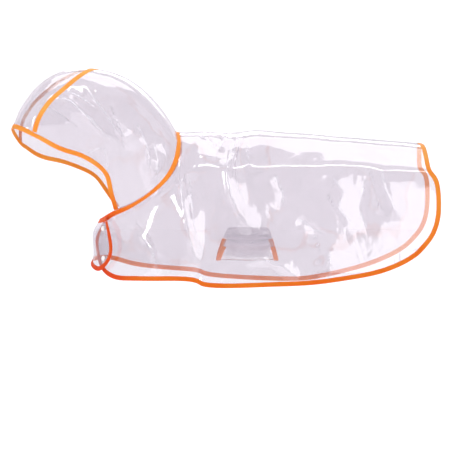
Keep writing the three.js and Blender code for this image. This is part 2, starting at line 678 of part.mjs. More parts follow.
// Belly strap: laid inside both side panels at its ends and slung between them
const strapSections = [
  { frontX: 54, rearX: 142, y: 127, z: -203, inset: 2.1 },
  { frontX: 49, rearX: 146, y: 127, z: -216, inset: 2.6 },
  { frontX: 44, rearX: 149, y: 124, z: -226, inset: 6 },
  { frontX: 37, rearX: 154, y: 100, z: -244, inset: 0 },
  { frontX: 33, rearX: 157, y: 62, z: -256, inset: 0 },
  { frontX: 32, rearX: 158, y: 22, z: -262, inset: 0 }
]
const strapColumns = 4
const strapSteps = 18
function strapGrid() {
  const lines = []
  for (let c = 0; c <= strapColumns; c++) {
    const share = c / strapColumns
    const knots = (side) => strapSections.map((section) => {
      const x = section.frontX + (section.rearX - section.frontX) * share
      const point = vector(x, section.y * side, section.z)
      if (section.inset === 0) return point
      const panel = side < 0 ? nearGrid : farGrid
      const normals = gridNormals(panel)
      const under = nearestOn(panel, normals, point)
      const inwards = under.normal.y * side > 0 ? -1 : 1
      return under.point.addScaledVector(under.normal, inwards * section.inset)
    })
    lines.push(evenPoints(curveThrough([...knots(-1), ...knots(1).reverse()]), strapSteps))
  }
  return trimRight(trimLeft(transpose(lines), 0, foldDepth), 0, foldDepth)
}
const strapRows = strapGrid()
const strapNormals = gridNormals(strapRows)
const strapEdge = (column, inside, slant) => shorten(strapRows.map((_, i) =>
  edgePlace(strapRows, strapNormals, [i, column], [i, inside], slant)), strapTapeStart, strapTapeStart)

// Snap: a domed cap outside the far front, a stud between the fronts and a back inside the near
// one. The three clearances keep each flat piece off the curved film.
const snaps = [
  { name: 'snap_upper', x: -198, y: -38, z: -196, capClear: 1.6, studClear: 1.2, backClear: 0.6 },
  { name: 'snap_lower', x: -189, y: -47, z: -256, capClear: 0.7, studClear: 0.9, backClear: 0.6 }
]
function disc(name, radius, thickness, dome, middle, axis) {
  const corner = 0.5
  const profile = [[0, 0], [radius - corner, 0], [radius, corner], [radius, thickness - corner],
    [radius - corner, thickness], [radius * 0.5, thickness + dome * 0.7], [0, thickness + dome]]
  const points = profile.map(([r, h]) => new THREE.Vector2(r, h))
  const mesh = new THREE.Mesh(new THREE.LatheGeometry(points, 16), whitePlastic)
  mesh.name = name
  mesh.position.copy(middle)
  mesh.quaternion.setFromUnitVectors(vector(0, 1, 0), axis)
  return mesh
}
function snap({ name, x, y, z, capClear, studClear, backClear }) {
  const over = nearestOn(farFront, farFrontNormals, vector(x, y, z))
  const at = (height) => over.point.clone().addScaledVector(over.normal, height)
  const under = nearestOn(nearFront, nearFrontNormals, at(-lap))
  const inwards = under.normal.clone().negate()
  const below = under.point.clone().sub(over.point).dot(over.normal)
  const studHeight = -below - film - 2 * studClear
  return [
    disc(`${name}_cap`, snapRadius, snapPlate, 0.8, at(film / 2 + capClear), over.normal),
    disc(`${name}_stud`, snapRadius - 1, studHeight, 0, at(below + film / 2 + studClear), over.normal),
    disc(`${name}_back`, snapRadius, snapPlate, 0, under.point.addScaledVector(inwards, film / 2 + backClear), inwards)
  ]
}

const neckTapeReach = seamHalf + gap + tapeRoom
const crownTapeReach = foldDepth + gap + tapeRoom
const group = new THREE.Group()
group.add(wall('body_panel', bodyRows, bodyNormals, film, clearFilm))
group.add(wall('hood_left', leftRows, leftNormals, film, clearFilm))
group.add(wall('hood_right', rightRows, rightNormals, film, clearFilm))
group.add(wall('hood_crown', crownPanel, crownNormals, film, clearFilm))
group.add(wall('belly_strap', strapRows, strapNormals, film, clearFilm))
group.add(foldedTape('hem_binding', shorten(hemPlaces(), neckTapeReach, neckTapeReach), orangeTape))
group.add(foldedTape('face_binding', shorten(facePlaces(), neckTapeReach, neckTapeReach), orangeTape))
group.add(seamTape('neck_binding', neckPlaces(), orangeTape))
for (const [side, name] of [[-1, 'crown_binding_left'], [1, 'crown_binding_right']]) {
  group.add(seamTape(name, shorten(crownPlacesAlong(side), crownTapeTop, crownTapeReach), orangeTape))
}
group.add(foldedTape('belly_binding_front', strapEdge(0, 1, 'outwards'), orangeTape))
group.add(foldedTape('belly_binding_rear', strapEdge(-1, -2, 'inwards'), orangeTape))
for (const closure of snaps) group.add(...snap(closure))

export default group
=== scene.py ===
# Clear film raincoat for a dog, worn: creased film panels, bias tape, stitching and snaps.
import math
import bmesh
import bpy
from mathutils import Matrix, Vector, noise
from mathutils.bvhtree import BVHTree
from mathutils.kdtree import KDTree


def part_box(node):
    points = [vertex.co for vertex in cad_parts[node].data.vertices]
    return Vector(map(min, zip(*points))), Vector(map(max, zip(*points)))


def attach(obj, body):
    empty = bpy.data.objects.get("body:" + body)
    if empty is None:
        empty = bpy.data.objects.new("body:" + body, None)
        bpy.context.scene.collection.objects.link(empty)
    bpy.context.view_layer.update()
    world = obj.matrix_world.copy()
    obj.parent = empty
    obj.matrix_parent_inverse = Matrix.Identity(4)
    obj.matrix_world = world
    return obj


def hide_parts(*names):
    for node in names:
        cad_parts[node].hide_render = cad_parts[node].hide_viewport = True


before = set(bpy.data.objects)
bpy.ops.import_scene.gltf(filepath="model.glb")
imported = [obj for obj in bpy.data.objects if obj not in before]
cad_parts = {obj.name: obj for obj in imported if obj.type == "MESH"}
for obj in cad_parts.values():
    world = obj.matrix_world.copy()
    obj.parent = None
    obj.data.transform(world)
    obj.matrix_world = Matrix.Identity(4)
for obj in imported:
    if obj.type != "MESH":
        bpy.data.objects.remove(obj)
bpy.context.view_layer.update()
mm = 0.001


def hexToLinear(code):
    channels = []
    for start in (0, 2, 4):
        value = int(code[start:start + 2], 16) / 255
        channels.append(value / 12.92 if value <= 0.04045 else ((value + 0.055) / 1.055) ** 2.4)
    return (*channels, 1.0)


def mixed(a, b, share):
    return a + (b - a) * share


def smoothStep(value):
    held = min(1.0, max(0.0, value))
    return held * held * (3 - 2 * held)


def addNode(material, kind, settings=None, links=None):
    tree = material.node_tree
    node = tree.nodes.new(kind)
    for name, value in (settings or {}).items():
        if isinstance(name, int) or name in node.inputs:    # a number picks a socket that shares its name
            node.inputs[name].default_value = value
        else:
            setattr(node, name, value)
    for name, (source, output) in (links or {}).items():
        tree.links.new(source.outputs[output], node.inputs[name])
    return node


def newMaterial(name):
    material = bpy.data.materials.new(name)
    material.use_nodes = True
    material.node_tree.nodes.clear()
    return material


def setColours(ramp, stops):
    elements = ramp.color_ramp.elements
    while len(elements) < len(stops):
        elements.new(0.5)
    for element, (place, colour) in zip(elements, stops):
        element.position = place
        element.color = colour


filmLook = {
    "tint": "F4F2F4",        # what one surface lets through face on, a little lavender
    "edgeTint": "B4AEB8",    # the same at a grazing angle, where light passes a long way in the film
    "haze": "ECE9F0",        # milky part of the film
    "hazeShare": 0.045,
    "creaseWhite": 0.4,      # haze added where vinyl has been folded sharply and gone white
    "gloss": "FFFFFF",
    "roughness": 0.07,
    "faceOn": 0.09,          # share mirrored face on, a little above real vinyl, so that streaks read
    "edgeOn": 0.6,           # share mirrored at a grazing angle
    "steepness": 4.0,
    "waveLength": 38.0,      # mm, slow waves left from the roll
    "waveDepth": 2.2,        # mm
    "crinkle": 9.0,          # mm, small handling marks
    "crinkleDepth": 0.5,     # mm
    "hazePatch": 60.0,       # mm
    "grazing": (0.84, 0.985),    # from where to where the edge tint comes in, 1 being edge on
}


def makeFilm():
    # Soft vinyl film, calendered and glossy: clear, with milky haze and sharp streaks of light
    film = newMaterial("clearVinylFilm")
    place = addNode(film, "ShaderNodeTexCoord")
    stretch = addNode(film, "ShaderNodeMapping", {"Scale": (1.0, 1.0, 0.45)}, {"Vector": (place, "Object")})
    waves = addNode(film, "ShaderNodeTexNoise",
                    {"Scale": 1 / (filmLook["waveLength"] * mm), "Detail": 2.0, "Distortion": 0.6},
                    {"Vector": (stretch, "Vector")})
    crinkles = addNode(film, "ShaderNodeTexNoise",
                       {"Scale": 1 / (filmLook["crinkle"] * mm), "Detail": 3.0, "Roughness": 0.55},
                       {"Vector": (place, "Object")})
    marks = addNode(film, "ShaderNodeTexNoise", {"Scale": 1 / (filmLook["hazePatch"] * mm), "Detail": 4.0},
                    {"Vector": (place, "Object")})
    waveBump = addNode(film, "ShaderNodeBump", {"Strength": 0.35, "Distance": filmLook["waveDepth"] * mm},
                       {"Height": (waves, "Fac")})
    bump = addNode(film, "ShaderNodeBump", {"Strength": 0.10, "Distance": filmLook["crinkleDepth"] * mm},
                   {"Height": (crinkles, "Fac"), "Normal": (waveBump, "Normal")})
    angle = addNode(film, "ShaderNodeLayerWeight", {"Blend": 0.5}, {"Normal": (bump, "Normal")})
    tints = addNode(film, "ShaderNodeValToRGB", {}, {"Fac": (angle, "Facing")})
    faceEnd, edgeStart = filmLook["grazing"]
    setColours(tints, [(faceEnd, hexToLinear(filmLook["tint"])),
                       (edgeStart, hexToLinear(filmLook["edgeTint"]))])
    through = addNode(film, "ShaderNodeBsdfTransparent", {}, {"Color": (tints, "Color")})
    milky = addNode(film, "ShaderNodeBsdfDiffuse", {"Color": hexToLinear(filmLook["haze"])})
    hazeRange = addNode(film, "ShaderNodeMapRange",
                        {"From Min": 0.35, "From Max": 0.75, "To Min": filmLook["hazeShare"] * 0.7,
                         "To Max": filmLook["hazeShare"] * 1.6}, {"Value": (marks, "Fac")})
    wear = addNode(film, "ShaderNodeAttribute", {"attribute_name": "creaseWear"})
    white = addNode(film, "ShaderNodeMath", {"operation": "MULTIPLY_ADD", 1: filmLook["creaseWhite"]},
                    {0: (wear, "Fac"), 2: (hazeRange, "Result")})
    body = addNode(film, "ShaderNodeMixShader", {},
                   {"Fac": (white, "Value"), 1: (through, "BSDF"), 2: (milky, "BSDF")})
    shine = addNode(film, "ShaderNodeBsdfAnisotropic",
                    {"Color": hexToLinear(filmLook["gloss"]), "Roughness": filmLook["roughness"]},
                    {"Normal": (bump, "Normal")})
    steep = addNode(film, "ShaderNodeMath", {"operation": "POWER", 1: filmLook["steepness"]},
                    {0: (angle, "Facing")})
    mirrored = addNode(film, "ShaderNodeMapRange",
                       {"To Min": filmLook["faceOn"], "To Max": filmLook["edgeOn"]},
                       {"Value": (steep, "Value")})
    whole = addNode(film, "ShaderNodeMixShader", {},
                    {"Fac": (mirrored, "Result"), 1: (body, "Shader"), 2: (shine, "BSDF")})
    addNode(film, "ShaderNodeOutputMaterial", {}, {"Surface": (whole, "Shader")})
    return film


tapeLook = {
    "deep": "F0520A",        # painted shade at the chest, under the flap
    "base": "F57F16",
    "high": "FFA53A",
    "paintedTopLightFaded": "FFC764",    # painted light on the ridge, where the top catches most light, with random fading
    "lowLevel": -300 * mm,
    "highLevel": 110 * mm,
    "chest": (-200 * mm, -40 * mm, -230 * mm),
    "chestReach": 120 * mm,
    "paintedChestShade": 0.3,     # how much each cause lightens the tape: painted shade near the chest, painted light upward, random fading in patches
    "paintedLightUpward": 0.36,
    "fadePatchy": 0.4,
    "passed": 0.35,          # share of the light that comes through the thin weave
    "threadSpacing": 0.9,    # mm, the real 0.3 mm weave is too fine to show
    "weaveDepth": 0.12,      # mm
    "fadePatch": 70.0,       # mm
    "roughness": 0.78,
}


def makeTape():
    # Woven polyester bias tape: matt orange with a faint sheen, its weave at 45 degrees to the edge, its
    # colour painted lighter on top and darker at the chest
    tape = newMaterial("orangeBiasTape")
    place = addNode(tape, "ShaderNodeUVMap", {"uv_map": "alongTape"})
    turned = addNode(tape, "ShaderNodeMapping", {"Rotation": (0, 0, math.radians(45))},
                     {"Vector": (place, "UV")})
    spacing = 1 / (tapeLook["threadSpacing"] * mm) / math.tau * 2
    warp = addNode(tape, "ShaderNodeTexWave", {"Scale": spacing, "bands_direction": "X", "Distortion": 0.4},
                   {"Vector": (turned, "Vector")})
    weft = addNode(tape, "ShaderNodeTexWave", {"Scale": spacing, "bands_direction": "Y", "Distortion": 0.4},
                   {"Vector": (turned, "Vector")})
    weave = addNode(tape, "ShaderNodeMath", {"operation": "MULTIPLY"}, {0: (warp, "Fac"), 1: (weft, "Fac")})
    spot = addNode(tape, "ShaderNodeTexCoord")
    patches = addNode(tape, "ShaderNodeTexNoise", {"Scale": 1 / (tapeLook["fadePatch"] * mm), "Detail": 3.0},
                      {"Vector": (spot, "Object")})
    spread = addNode(tape, "ShaderNodeSeparateXYZ", {}, {"Vector": (spot, "Object")})
    # Painted light and shade: the tape is lighter higher up and away from the chest and darker at the chest,
    # with random fading in patches on top
    level = addNode(tape, "ShaderNodeMapRange",
                    {"From Min": tapeLook["lowLevel"], "From Max": tapeLook["highLevel"]},
                    {"Value": (spread, "Z")})
    away = addNode(tape, "ShaderNodeVectorMath", {"operation": "DISTANCE", 1: tapeLook["chest"]},
                   {0: (spot, "Object")})
    shaded = addNode(tape, "ShaderNodeMapRange",
                     {"From Min": tapeLook["chestReach"] * 0.4, "From Max": tapeLook["chestReach"],
                      "To Min": 0.0, "To Max": tapeLook["paintedChestShade"]}, {"Value": (away, "Value")})
    lit = addNode(tape, "ShaderNodeMath", {"operation": "MULTIPLY_ADD", 1: tapeLook["paintedLightUpward"]},
                  {0: (level, "Result"), 2: (shaded, "Result")})
    paintedLightAndFading = addNode(tape, "ShaderNodeMath", {"operation": "MULTIPLY_ADD", 1: tapeLook["fadePatchy"]},
                     {0: (patches, "Fac"), 2: (lit, "Value")})
    colours = addNode(tape, "ShaderNodeValToRGB", {}, {"Fac": (paintedLightAndFading, "Value")})
    setColours(colours, [(0.25, hexToLinear(tapeLook["deep"])), (0.5, hexToLinear(tapeLook["base"])),
                         (0.7, hexToLinear(tapeLook["high"])), (0.88, hexToLinear(tapeLook["paintedTopLightFaded"]))])
    bump = addNode(tape, "ShaderNodeBump", {"Strength": 0.5, "Distance": tapeLook["weaveDepth"] * mm},
                   {"Height": (weave, "Value")})
    cloth = addNode(tape, "ShaderNodeBsdfPrincipled",
                    {"Roughness": tapeLook["roughness"], "Sheen Weight": 0.25, "Sheen Roughness": 0.4,
                     "Specular IOR Level": 0.35},
                    {"Base Color": (colours, "Color"), "Normal": (bump, "Normal")})
    glow = addNode(tape, "ShaderNodeBsdfTranslucent", {}, {"Color": (colours, "Color")})
    woven = addNode(tape, "ShaderNodeMixShader", {"Fac": tapeLook["passed"]},
                    {1: (cloth, "BSDF"), 2: (glow, "BSDF")})
    addNode(tape, "ShaderNodeOutputMaterial", {}, {"Surface": (woven, "Shader")})
    return tape


threadLook = {
    "dark": "E9791F",
    "pale": "FFB25E",
    "twist": 1.2,            # mm
    "roughness": 0.6,
}


def makeThread():
    # Spun polyester thread, a shade lighter than the tape
    thread = newMaterial("orangeSewingThread")
    spot = addNode(thread, "ShaderNodeTexCoord")
    twist = addNode(thread, "ShaderNodeTexNoise", {"Scale": 1 / (threadLook["twist"] * mm), "Detail": 2.0},
                    {"Vector": (spot, "Object")})
    colours = addNode(thread, "ShaderNodeValToRGB", {}, {"Fac": (twist, "Fac")})
    setColours(colours, [(0.35, hexToLinear(threadLook["dark"])), (0.65, hexToLinear(threadLook["pale"]))])
    yarn = addNode(thread, "ShaderNodeBsdfPrincipled",
                   {"Roughness": threadLook["roughness"], "Sheen Weight": 0.3},
                   {"Base Color": (colours, "Color")})
    addNode(thread, "ShaderNodeOutputMaterial", {}, {"Surface": (yarn, "BSDF")})
    return thread


snapLook = {
    "dull": "E9E7E4",
    "white": "F8F7F5",
    "scuff": 2.5,            # mm
    "scuffDepth": 0.05,      # mm
    "smooth": 0.28,
    "rough": 0.45,
}


def makeSnapPlastic():
    # Acetal snap, injection moulded: satin white with faint scuffs
    plastic = newMaterial("whiteAcetalSnap")
    spot = addNode(plastic, "ShaderNodeTexCoord")
    scuffs = addNode(plastic, "ShaderNodeTexNoise", {"Scale": 1 / (snapLook["scuff"] * mm), "Detail": 5.0},
                     {"Vector": (spot, "Object")})
    rough = addNode(plastic, "ShaderNodeMapRange",
                    {"To Min": snapLook["smooth"], "To Max": snapLook["rough"]}, {"Value": (scuffs, "Fac")})
    colours = addNode(plastic, "ShaderNodeValToRGB", {}, {"Fac": (scuffs, "Fac")})
    setColours(colours, [(0.3, hexToLinear(snapLook["dull"])), (0.7, hexToLinear(snapLook["white"]))])
    bump = addNode(plastic, "ShaderNodeBump", {"Strength": 0.1, "Distance": snapLook["scuffDepth"] * mm},
                   {"Height": (scuffs, "Fac")})
    shell = addNode(plastic, "ShaderNodeBsdfPrincipled", {"IOR": 1.48},
                    {"Base Color": (colours, "Color"), "Roughness": (rough, "Result"),
                     "Normal": (bump, "Normal")})
    addNode(plastic, "ShaderNodeOutputMaterial", {}, {"Surface": (shell, "BSDF")})
    return plastic


def makeStageMatt(name, code, glow):
    # Backlit paper, so that the backdrop stays white behind a darker room
    matt = newMaterial(name)
    paint = addNode(matt, "ShaderNodeBsdfPrincipled",
                    {"Base Color": hexToLinear(code), "Roughness": 0.9, "Specular IOR Level": 0.1,
                     "Emission Color": hexToLinear(code), "Emission Strength": glow})
    addNode(matt, "ShaderNodeOutputMaterial", {}, {"Surface": (paint, "BSDF")})
    return matt


filmMaterial = makeFilm()
tapeMaterial = makeTape()
threadMaterial = makeThread()
snapMaterial = makeSnapPlastic()
print("materials made")


def deselectAll():
    bpy.ops.object.select_all(action="DESELECT")


def activate(piece):
    deselectAll()
    piece.select_set(True)
    bpy.context.view_layer.objects.active = piece


def applyModifier(piece, kind, settings):
    activate(piece)
    modifier = piece.modifiers.new(kind.title(), kind)
    for name, value in settings.items():
        setattr(modifier, name, value)
    bpy.ops.object.modifier_apply(modifier=modifier.name)


filmCut = {
    "wall": 0.4 * mm,        # a little more than the real 0.2 mm
    "solidWall": 1.2 * mm,   # wall of the CAD solid
    "levels": 2,
    "refineReach": 11 * mm,
    "foldTip": 1.6,          # mm, radius over which the top of a crease is rounded
    "foldReach": 4,          # half widths at which a crease is taken to have died out
    "crestHalf": 1.7,        # mm, half width of the white line on a crease
    "edgeFade": 16 * mm,     # creases die out this far from a taped edge
    "slowRipple": 1.12 * mm,     # unevenness all over
    "quickRipple": 0.35 * mm,
}

# Creases, in mm: a run of X, Z points on the side as seen from the left, half width and height.
# A height below zero is a trough. side is -1 on the near half, 1 on the far half.
bodyFolds = [
    {"side": -1, "run": [(-41, -81), (-35, -132), (-21, -207), (-5, -266)], "half": 7, "height": 3.2},
    {"side": -1, "run": [(-22, -84), (-18, -130), (-12, -176)], "half": 6, "height": -2.4},
    {"side": -1, "run": [(82, 2), (62, -40), (55, -66), (56, -96), (62, -126), (76, -158), (94, -188)],
     "half": 7, "height": 3.6},
    {"side": -1, "run": [(80, -3), (70, -36), (60, -68)], "half": 5, "height": 3.0},
    {"side": -1, "run": [(94, -25), (99, -70)], "half": 6, "height": 2.6},
    {"side": -1, "run": [(-2, -2), (18, -16), (38, -36)], "half": 8, "height": -3.4},
    {"side": -1, "run": [(52, -4), (44, -22), (34, -40)], "half": 7, "height": 3.2},
    {"side": -1, "run": [(-8, -44), (20, -48), (52, -54)], "half": 7, "height": 2.8},
    {"side": -1, "run": [(362, -68), (370, -112), (392, -160)], "half": 9, "height": 3.4},
    {"side": -1, "run": [(258, -228), (258, -300)], "half": 7, "height": 3.0},
    {"side": -1, "run": [(196, -170), (226, -190), (250, -206)], "half": 12, "height": -2.6},
    {"side": -1, "run": [(84, -262), (124, -252), (166, -266), (196, -292)], "half": 9, "height": 2.6},
    {"side": -1, "run": [(262, -84), (286, -118), (276, -150), (306, -186)], "half": 14, "height": 2.8},
    {"side": -1, "run": [(330, -96), (318, -150), (338, -206)], "half": 12, "height": -2.4},
    {"side": -1, "run": [(-128, -196), (-96, -232), (-84, -284)], "half": 12, "height": 2.6},
    {"side": -1, "run": [(150, -84), (168, -122), (160, -160)], "half": 11, "height": -2.2},
    {"side": 1, "run": [(-36, -84), (-30, -140), (-14, -214), (2, -262)], "half": 8, "height": 3.0},
    {"side": 1, "run": [(96, 0), (78, -36), (70, -70), (74, -112), (92, -160)], "half": 8, "height": 3.4},
    {"side": 1, "run": [(6, -4), (26, -22), (44, -44)], "half": 8, "height": -3.0},
    {"side": 1, "run": [(350, -70), (366, -120), (380, -176)], "half": 10, "height": 3.2},
    {"side": 1, "run": [(236, -206), (248, -250), (244, -286)], "half": 9, "height": 2.6},
    {"side": 1, "run": [(146, -90), (170, -130), (160, -176)], "half": 12, "height": -2.6},
    {"side": 1, "run": [(286, -90), (268, -136), (296, -190)], "half": 13, "height": 2.6},
    {"side": 1, "run": [(-140, -190), (-108, -226), (-92, -272)], "half": 11, "height": 2.6},
]
hoodFolds = [
    {"run": [(-286, 74), (-258, 64), (-238, 46), (-214, 24), (-188, -5), (-170, -20)],
     "half": 7, "height": 3.6},
    {"run": [(-262, 84), (-236, 72), (-206, 50)], "half": 8, "height": -3.0},
    {"run": [(-229, 92), (-201, 54), (-183, 30), (-169, 6), (-150, -10)], "half": 7, "height": 3.4},
    {"run": [(-176, 34), (-150, -8)], "half": 6, "height": -2.4},
    {"run": [(-236, -50), (-212, -34), (-194, -28)], "half": 8, "height": 3.0},
    {"run": [(-194, -28), (-188, -50), (-184, -84)], "half": 8, "height": 2.4},
    {"run": [(-128, 20), (-108, -24), (-102, -70)], "half": 10, "height": 2.6},
    {"run": [(-96, -20), (-84, -56), (-88, -104)], "half": 9, "height": -2.4},
]
farHoodFolds = [
    {"run": [(-330, 60), (-290, 40), (-252, 8)], "half": 9, "height": 3.0},
    {"run": [(-272, 70), (-236, 30), (-206, -6)], "half": 9, "height": -2.8},
    {"run": [(-190, 60), (-170, 10), (-160, -40)], "half": 10, "height": 3.0},
    {"run": [(-130, 10), (-112, -40), (-106, -92)], "half": 10, "height": 2.6},
]
crownFolds = [
    {"run": [(-352, 20), (-334, 60), (-306, 92)], "half": 8, "height": 2.0},
    {"run": [(-318, 70), (-286, 100), (-256, 112)], "half": 9, "height": -2.0},
]
strapFolds = [
    {"run": [(60, -246), (96, -254), (134, -246)], "half": 9, "height": 2.0},
    {"run": [(58, -214), (92, -222), (140, -212)], "half": 8, "height": -1.8},
]


def outerSkin(node, inside):
    # One surface of a CAD wall: merged, without its rim, the half that faces away from inside
    source = bpy.data.objects[node]
    mesh = bmesh.new()
    mesh.from_mesh(source.data)
    bmesh.ops.remove_doubles(mesh, verts=mesh.verts, dist=0.01 * mm)
    rimLength = filmCut["solidWall"] * 1.25    # only the rim's faces have an edge as short as the wall
    rim = [face for face in mesh.faces if min(edge.calc_length() for edge in face.edges) < rimLength]
    bmesh.ops.delete(mesh, geom=rim, context="FACES")
    mesh.faces.ensure_lookup_table()
    unseen = set(mesh.faces)
    halves = []
    while unseen:
        front = [unseen.pop()]
        half = list(front)
        while front:
            face = front.pop()
            for edge in face.edges:
                for other in edge.link_faces:
                    if other in unseen:
                        unseen.remove(other)
                        front.append(other)
                        half.append(other)
        halves.append(half)
    halves.sort(key=len, reverse=True)

    def facing(half):
        return sum((face.calc_center_median() - inside).normalized().dot(face.normal) * face.calc_area()
                   for face in half)

    kept = set(max(halves[:2], key=facing))
    bmesh.ops.delete(mesh, geom=[face for face in mesh.faces if face not in kept], context="FACES")
    bmesh.ops.join_triangles(mesh, faces=mesh.faces, angle_face_threshold=math.pi,
                             angle_shape_threshold=math.pi)
    for vertex in mesh.verts:
        vertex.co -= vertex.normal * (filmCut["solidWall"] / 2)
    return mesh


def borderVertices(mesh):
    return [vertex for vertex in mesh.verts if vertex.is_boundary]


def nearestOnRun(run, x, z):
    best = (1e9, 0.0)
    for index in range(len(run) - 1):
        (ax, az), (bx, bz) = run[index], run[index + 1]
        lengthSquared = (bx - ax) ** 2 + (bz - az) ** 2
        share = min(1, max(0, ((x - ax) * (bx - ax) + (z - az) * (bz - az)) / lengthSquared))
        distance = math.hypot(x - mixed(ax, bx, share), z - mixed(az, bz, share))
        if distance < best[0]:
            best = (distance, (index + share) / (len(run) - 1))
    return best


def foldHeight(folds, x, z, side):
    height = 0.0
    for fold in folds:
        if fold.get("side", side) != side:
            continue
        distance, along = nearestOnRun(fold["run"], x, z)
        if distance > fold["half"] * filmCut["foldReach"]:
            continue
        ends = smoothStep(along / 0.18 + 0.15) * smoothStep((1 - along) / 0.25 + 0.15)
        uneven = 0.8 + 0.4 * noise.noise(Vector((along * 4, fold["half"], fold["height"])))
        rounded = math.hypot(distance, filmCut["foldTip"]) - filmCut["foldTip"]
        height += fold["height"] * ends * uneven * math.exp(-rounded / fold["half"])
    return height


def foldCrest(folds, x, z, side):
    # How far a place lies on the very top of a crease, 0 to 1, broken up along its run
    crest = 0.0
    for fold in folds:
        if fold.get("side", side) != side:
            continue
        distance, along = nearestOnRun(fold["run"], x, z)
        worn = 0.55 + 0.9 * noise.noise(Vector((along * 7, fold["half"] * 3, fold["height"])))
        ends = smoothStep(along / 0.12) * smoothStep((1 - along) / 0.2)
        crest = max(crest, worn * ends * math.exp(-((distance / filmCut["crestHalf"]) ** 2)))
    return min(1.0, max(0.0, crest))


def refineAtFolds(mesh, folds):
    # One more cut of the faces beside a crease, so that its two slopes stay crisp
    reach = filmCut["refineReach"] / mm
    faces = []
    for face in mesh.faces:
        spot = face.calc_center_median()
        side = -1 if spot.y < 0 else 1
        for fold in folds:
            if fold.get("side", side) != side:
                continue
            if nearestOnRun(fold["run"], spot.x / mm, spot.z / mm)[0] < reach:
                faces.append(face)
                break
    edges = list({edge for face in faces for edge in face.edges})
    bmesh.ops.subdivide_edges(mesh, edges=edges, cuts=1, use_grid_fill=True, smooth=0.0)


def creaseSkin(piece, folds, seed):
    # Raises the creases and a slow ripple out of a skin, and notes where the vinyl has gone white
    mesh = bmesh.new()
    mesh.from_mesh(piece.data)
    refineAtFolds(mesh, folds)
    mesh.normal_update()
    wear = mesh.verts.layers.float.new("creaseWear")
    border = borderVertices(mesh)
    tree = KDTree(len(border))
    for index, vertex in enumerate(border):
        tree.insert(vertex.co, index)
    tree.balance()
    moves = []
    for vertex in mesh.verts:
        spot = vertex.co
        fade = smoothStep(tree.find(spot)[2] / filmCut["edgeFade"])
        side = -1 if spot.y < 0 else 1
        height = foldHeight(folds, spot.x / mm, spot.z / mm, side) * mm
        slow = noise.noise(Vector((spot.x * 17, spot.y * 17 + seed, spot.z * 9)))
        quick = noise.noise(Vector((spot.x * 46 + seed, spot.y * 46, spot.z * 22)))
        height += slow * filmCut["slowRipple"] + quick * filmCut["quickRipple"]
        crest = foldCrest(folds, spot.x / mm, spot.z / mm, side) * fade
        moves.append((vertex, vertex.normal.copy() * height * fade, crest))
    for vertex, move, crest in moves:
        vertex.co += move
        vertex[wear] = crest
    mesh.to_mesh(piece.data)
    mesh.free()


cornerRound = {
    "tips": [(473, -129, -211), (473, 129, -211)],    # mm, the two rear hem corners
    "reach": 55 * mm,
    "passes": 220,
    "neighbours": 4,         # border places that each place of the film follows
}


def roundCorners(mesh):
    # Rounds the rear corners: the border is smoothed there and the film near it moves along
    border = borderVertices(mesh)
    tips = [Vector(tip) * mm for tip in cornerRound["tips"]]
    reach = cornerRound["reach"]
    share = {vertex: max(smoothStep(1 - (vertex.co - tip).length / reach) for tip in tips)
             for vertex in border}
    places = {vertex: vertex.co.copy() for vertex in border if share[vertex] > 0}
    sides = {vertex: [edge.other_vert(vertex) for edge in vertex.link_edges if edge.is_boundary]
             for vertex in places}
    for _ in range(cornerRound["passes"]):
        before = {vertex: spot.copy() for vertex, spot in places.items()}
        for vertex in places:
            middle = sum((before.get(other, other.co) for other in sides[vertex]), Vector()) / 2
            places[vertex] = before[vertex].lerp(middle, 0.5 * share[vertex])
    moved = list(places)
    tree = KDTree(len(moved))
    for index, vertex in enumerate(moved):
        tree.insert(vertex.co, index)
    tree.balance()
    shifts = [places[vertex] - vertex.co for vertex in moved]
    for vertex in mesh.verts:
        near = tree.find_n(vertex.co, cornerRound["neighbours"])
        if near[0][2] > reach:
            continue
        weights = [1 / (distance + 1 * mm) for _, _, distance in near]
        pulled = sum((shifts[index] * weight for (_, index, _), weight in zip(near, weights)), Vector())
        vertex.co += pulled / sum(weights) * smoothStep(1 - near[0][2] / reach)


def makeSkin(node, inside, folds, seed):
    mesh = outerSkin(node, inside)
    data = bpy.data.meshes.new(node + "_film")
    mesh.to_mesh(data)
    mesh.free()
    piece = bpy.data.objects.new(node + "_film", data)
    bpy.context.scene.collection.objects.link(piece)
    applyModifier(piece, "SUBSURF", {"levels": filmCut["levels"], "render_levels": filmCut["levels"]})
    if node == "body_panel":
        fine = bmesh.new()
        fine.from_mesh(piece.data)
        roundCorners(fine)
        fine.to_mesh(piece.data)
        fine.free()
    creaseSkin(piece, folds, seed)
    return piece


def finishFilm(piece, node):
    applyModifier(piece, "SOLIDIFY", {"thickness": filmCut["wall"], "offset": 0.0, "use_even_offset": False})
    activate(piece)
    bpy.ops.object.shade_smooth_by_angle(angle=math.radians(50))
    piece.data.materials.clear()
    piece.data.materials.append(filmMaterial)
    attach(piece, "root")
    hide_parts(node)


torsoMiddle = Vector((0.05, 0.0, -0.15))
headMiddle = Vector((-0.22, -0.03, -0.01))
strapMiddle = Vector((0.095, 0.0, -0.16))
filmPieces = {
    "body_panel": {"inside": torsoMiddle, "folds": bodyFolds,
                   "flat": (0.78, 0.74), "area": 0.44, "held": "draped"},
    "hood_left": {"inside": headMiddle, "folds": hoodFolds,
                  "flat": (0.36, 0.30), "area": 0.062, "held": "draped"},
    "hood_right": {"inside": headMiddle, "folds": farHoodFolds,
                   "flat": (0.38, 0.34), "area": 0.075, "held": "draped"},
    "hood_crown": {"inside": headMiddle, "folds": crownFolds,
                   "flat": (0.28, 0.13), "area": 0.024, "held": "draped"},
    "belly_strap": {"inside": strapMiddle, "folds": strapFolds,
                    "flat": (0.36, 0.126), "area": 0.036, "held": "hung"},
}
skins = {}
for seed, (node, cut) in enumerate(filmPieces.items()):
    skins[node] = makeSkin(node, cut["inside"], cut["folds"], seed * 7.3)
    print("film skin", node, len(skins[node].data.vertices))


